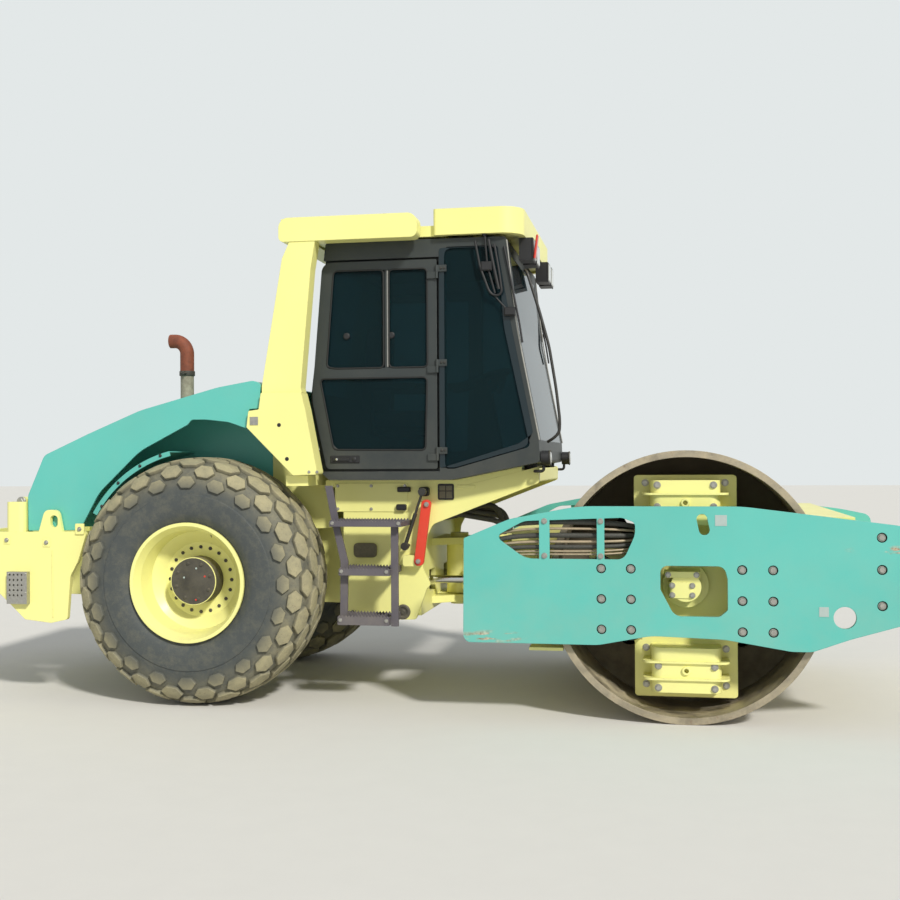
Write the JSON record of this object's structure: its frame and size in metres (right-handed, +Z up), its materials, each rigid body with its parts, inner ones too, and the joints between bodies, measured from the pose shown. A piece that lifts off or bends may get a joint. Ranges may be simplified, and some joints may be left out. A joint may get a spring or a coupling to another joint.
{
  "type": "road roller",
  "caption": "Articulated soil compactor with a smooth steel drum in a plate frame, a glazed cab on a rear tractor unit, and two diamond-lugged tyres",
  "frame": {"origin": "on the ground under the middle of the machine's length and width", "axes": "+X forward to the drum, +Y to the machine's left, +Z up"},
  "size_m": [5.88, 2.25, 2.993],
  "materials": {
    "yellow_paint": "pale yellow enamel, dusty",
    "teal_paint": "pale blue-green enamel, scuffed",
    "cab_paint": "dark grey powder coat",
    "step_paint": "dark grey paint, worn",
    "bar_paint": "signal red paint",
    "drum_steel": "bare rolled steel, polished and dusty",
    "axle_iron": "dark painted iron",
    "rusty_pipe": "heat-rusted steel pipe",
    "tyre_rubber": "dusty tyre rubber",
    "buffer_rubber": "black moulded rubber",
    "hose_rubber": "dusty hydraulic hose",
    "rod_chrome": "hard chrome",
    "cylinder_paint": "black paint",
    "cab_glass": "dark tinted safety glass",
    "lamp_plastic": "black lamp housing",
    "seat_fabric": "dark woven cover",
    "console_plastic": "moulded black plastic"
  },
  "bodies": {
    "rear_unit": {"rear_frame": "yellow_paint", "rear_axle": "axle_iron", "rear_bumper": "yellow_paint", "engine_block": "axle_iron", "cab_frame": "cab_paint", "cab_mounts": "buffer_rubber", "windscreen": "cab_glass", "rear_window": "cab_glass", "side_glass_right": "cab_glass", "side_glass_left": "cab_glass", "rops_frame": "yellow_paint", "cab_roof": "yellow_paint", "operator_seat": "seat_fabric", "steering_column": "console_plastic", "work_lamps": "lamp_plastic", "step_ladder_right": "step_paint", "step_ladder_left": "step_paint", "lock_bar": "bar_paint", "latch_strut": "cylinder_paint", "frame_side_right": "yellow_paint", "frame_side_left": "yellow_paint", "cab_crossbeam": "yellow_paint", "vent_boxes": "lamp_plastic", "pivot_hoses": "hose_rubber"},
    "wheel_right": {"rim_right": "yellow_paint", "tyre_right": "tyre_rubber"},
    "wheel_left": {"rim_left": "yellow_paint", "tyre_left": "tyre_rubber"},
    "hood": {"hood_shell": "teal_paint", "hood_grille": "cylinder_paint", "hood_mudguards": "teal_paint", "exhaust_stack": "rusty_pipe"},
    "door_right": {"door_frame_right": "cab_paint", "door_glass_right": "cab_glass"},
    "door_left": {"door_frame_left": "cab_paint", "door_glass_left": "cab_glass"},
    "yoke": {"articulation_yoke": "yellow_paint"},
    "barrel_right": {"cylinder_barrel_right": "cylinder_paint"},
    "barrel_left": {"cylinder_barrel_left": "cylinder_paint"},
    "rod_right": {"cylinder_rod_right": "rod_chrome"},
    "rod_left": {"cylinder_rod_left": "rod_chrome"},
    "front_unit": {"front_plate_right": "teal_paint", "front_plate_left": "teal_paint", "rear_crossbeam": "yellow_paint", "front_crossbeam": "yellow_paint", "drum_support_right": "yellow_paint", "drum_support_left": "yellow_paint", "rubber_buffers": "buffer_rubber", "scrapers": "yellow_paint", "front_hoses": "hose_rubber"},
    "drum": {"drum_shell": "drum_steel", "drum_heads": "drum_steel"}
  },
  "joints": [
    {"name": "wheel_right_spin", "type": "hinge", "parent": "rear_unit", "child": "wheel_right", "pos_m": [-1.324, -0.819, 0.755], "axis": [0, 1, 0], "continuous": true},
    {"name": "wheel_left_spin", "type": "hinge", "parent": "rear_unit", "child": "wheel_left", "pos_m": [-1.324, 0.819, 0.755], "axis": [0, 1, 0], "continuous": true},
    {"name": "hood_tilt", "type": "hinge", "parent": "rear_unit", "child": "hood", "pos_m": [-2.524, 0, 1.233], "axis": [0, -1, 0], "range_deg": [0, 50]},
    {"name": "door_right_swing", "type": "hinge", "parent": "rear_unit", "child": "door_right", "pos_m": [0.149, -0.785, 2], "axis": [0, 0, 1], "range_deg": [0, 100]},
    {"name": "door_left_swing", "type": "hinge", "parent": "rear_unit", "child": "door_left", "pos_m": [0.149, 0.785, 2], "axis": [0, 0, -1], "range_deg": [0, 100]},
    {"name": "steer", "type": "hinge", "parent": "rear_unit", "child": "yoke", "pos_m": [0.143, 0, 0.765], "axis": [0, 0, 1], "range_deg": [-34, 34], "deforming": ["pivot_hoses"]},
    {"name": "oscillation", "type": "hinge", "parent": "yoke", "child": "front_unit", "pos_m": [0.433, 0, 0.765], "axis": [1, 0, 0], "range_deg": [-10, 10]},
    {"name": "drum_spin", "type": "hinge", "parent": "front_unit", "child": "drum", "pos_m": [1.61, 0, 0.765], "axis": [0, 1, 0], "continuous": true},
    {"name": "barrel_right_swing", "type": "hinge", "parent": "rear_unit", "child": "barrel_right", "pos_m": [-0.497, -0.26, 0.71], "axis": [0, 0, 1], "range_deg": [-4.5, 4.5]},
    {"name": "barrel_left_swing", "type": "hinge", "parent": "rear_unit", "child": "barrel_left", "pos_m": [-0.497, 0.26, 0.71], "axis": [0, 0, 1], "range_deg": [-4.5, 4.5]},
    {"name": "rod_right_slide", "type": "slide", "parent": "barrel_right", "child": "rod_right", "axis": [0.9986, 0.0533, 0], "range_m": [-0.135, 0.135]},
    {"name": "rod_left_slide", "type": "slide", "parent": "barrel_left", "child": "rod_left", "axis": [0.9986, -0.0533, 0], "range_m": [-0.135, 0.135]}
  ],
  "couplings": [
    {"joint": "barrel_right_swing", "follows": "steer", "ratio": 0.12},
    {"joint": "barrel_left_swing", "follows": "steer", "ratio": 0.12},
    {"joint": "rod_right_slide", "follows": "steer", "m_per_rad": 0.2199},
    {"joint": "rod_left_slide", "follows": "steer", "m_per_rad": -0.2199}
  ]
}
